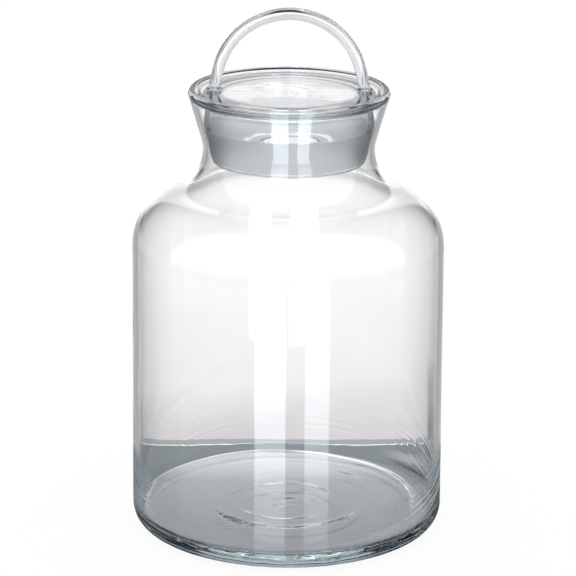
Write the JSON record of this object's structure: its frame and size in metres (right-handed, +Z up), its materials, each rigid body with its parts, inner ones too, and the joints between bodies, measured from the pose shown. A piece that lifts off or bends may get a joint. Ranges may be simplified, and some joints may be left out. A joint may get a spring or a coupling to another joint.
{
  "type": "specimen jar",
  "caption": "Clear blown-glass specimen jar with a round shoulder, flared mouth and a hollow ground-glass stopper lifted by an arched glass rod handle.",
  "frame": {"origin": "centre of the base, on the surface that the jar stands on", "axes": "+Z up along the jar's axis; the handle's arch lies in the XZ plane, so -Y is the front that shows the arch broadside"},
  "size_m": [0.202, 0.202, 0.3395],
  "materials": {
    "clear_glass": "clear, fire-polished, with a faint cool grey tint where the glass is thick",
    "lid_glass": "clear, slightly wavy from hot working",
    "ground_glass": "frosted by grinding where it seats in the mouth, clear above and at the lip",
    "rod_glass": "clear, fire-polished solid rod",
    "foot_glass": "clear, pressed flat while hot, grey-green seen edge on"
  },
  "bodies": {
    "jar": {"jar_body": "clear_glass"},
    "lid": {"lid_plate": "lid_glass", "lid_plug": "ground_glass", "handle_rod": "rod_glass", "handle_foot_left": "foot_glass", "handle_foot_right": "foot_glass"}
  },
  "joints": [
    {"name": "lid_lift", "type": "slide", "parent": "jar", "child": "lid", "axis": [0, 0, 1], "range_m": [0, 0.08]}
  ]
}
